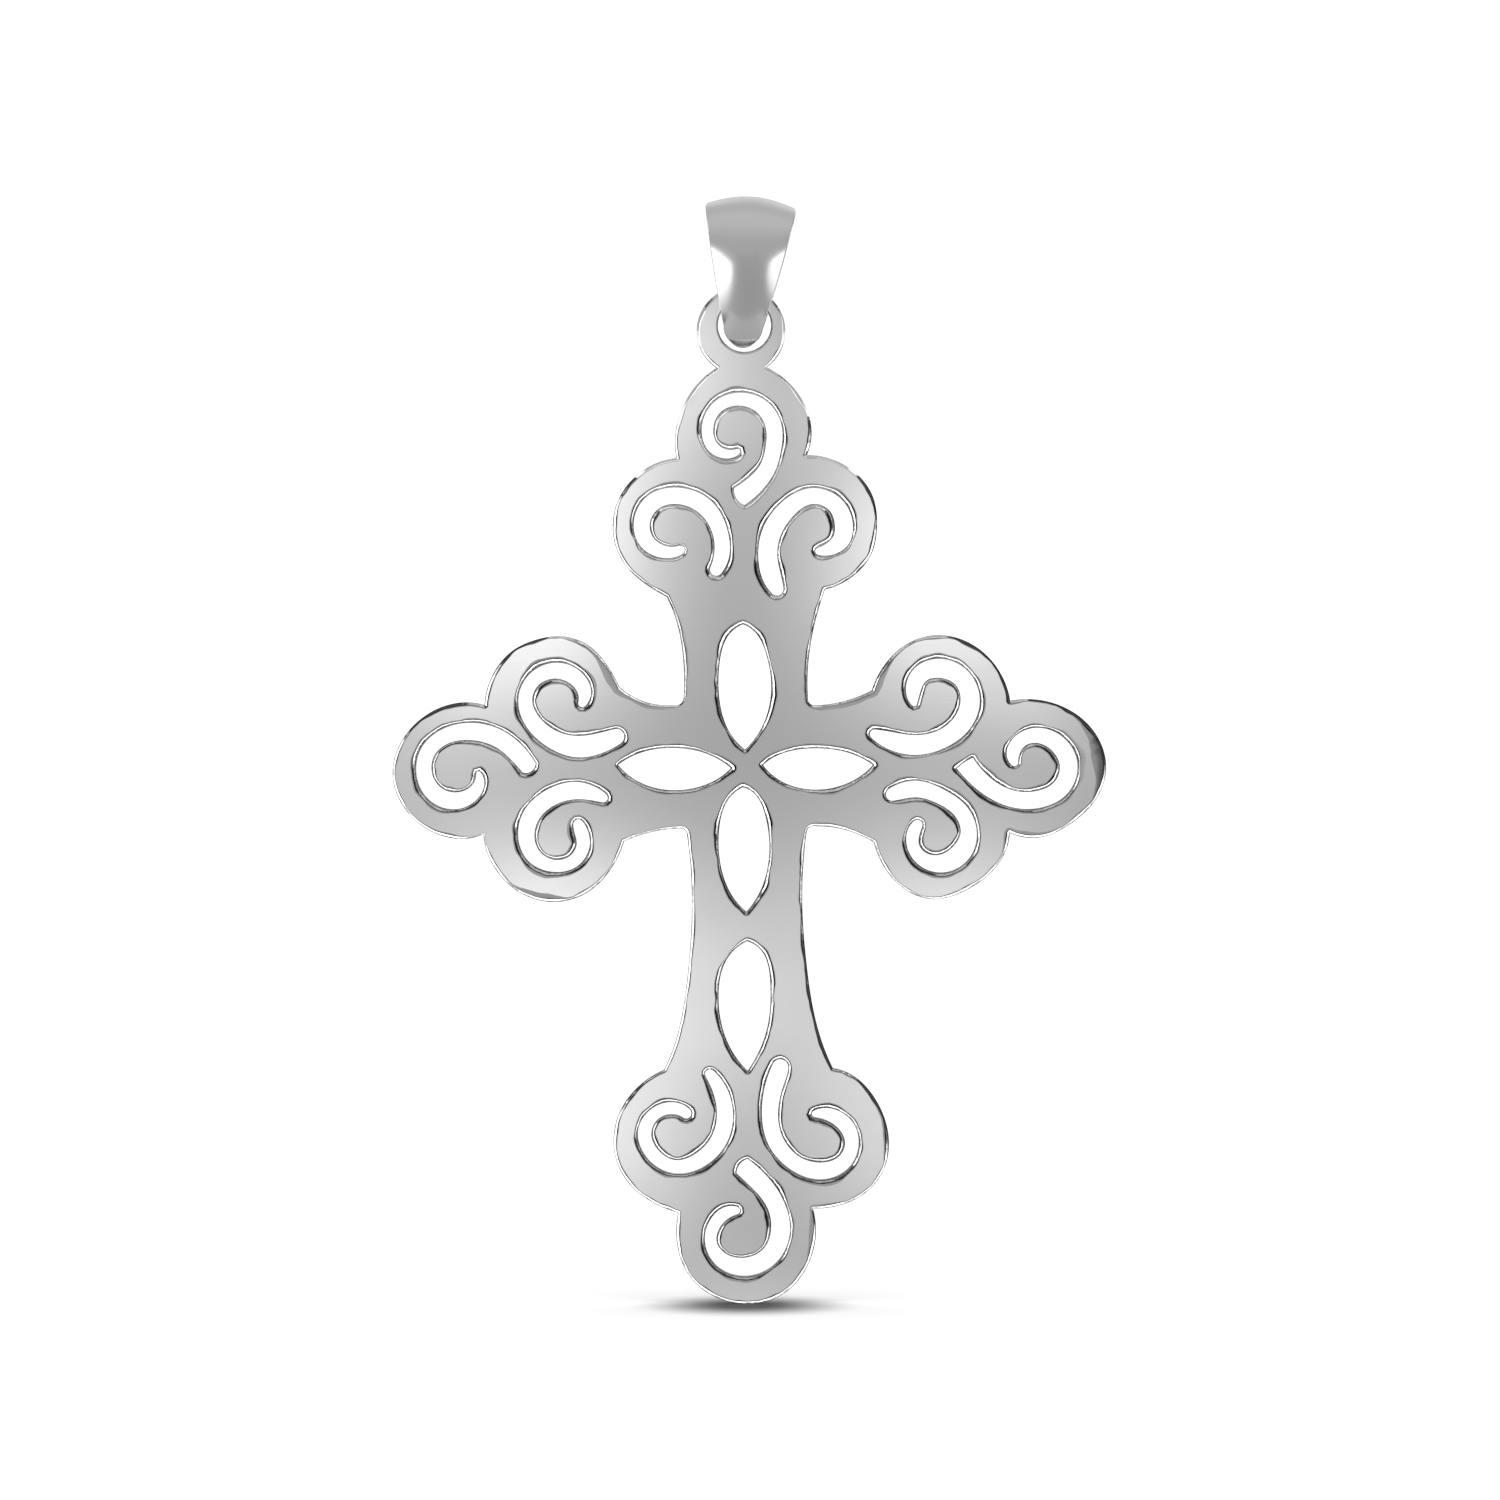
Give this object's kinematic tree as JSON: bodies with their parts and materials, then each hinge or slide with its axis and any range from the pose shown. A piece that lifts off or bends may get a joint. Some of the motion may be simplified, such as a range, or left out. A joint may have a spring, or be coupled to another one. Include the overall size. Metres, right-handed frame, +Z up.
{
  "type": "cross pendant",
  "caption": "Pierced silver cross pendant with scrolled trefoil ends, hanging by its own eyelet from a tapered bail for a neck chain.",
  "frame": {"origin": "the chain's seat: middle of the inside of the bail's crown", "axes": "+Z up along the cross's height, front faces -Y through the plate's thickness, +X to the right seen from the front"},
  "size_m": [0.0357, 0.0048, 0.0555],
  "materials": {
    "plate_silver": "hand-polished silver with fine hairline scratches",
    "bail_silver": "bright polished silver",
    "solder": "silver solder, slightly duller"
  },
  "bodies": {
    "bail": {"bail_strip": "bail_silver", "bail_solder": "solder"},
    "cross": {"cross_plate": "plate_silver"}
  },
  "joints": [
    {"name": "cross_swing", "type": "hinge", "parent": "bail", "child": "cross", "pos_m": [-0.00024, 0, -0.00428], "axis": [1, 0, 0], "range_deg": [-40, 40]}
  ]
}
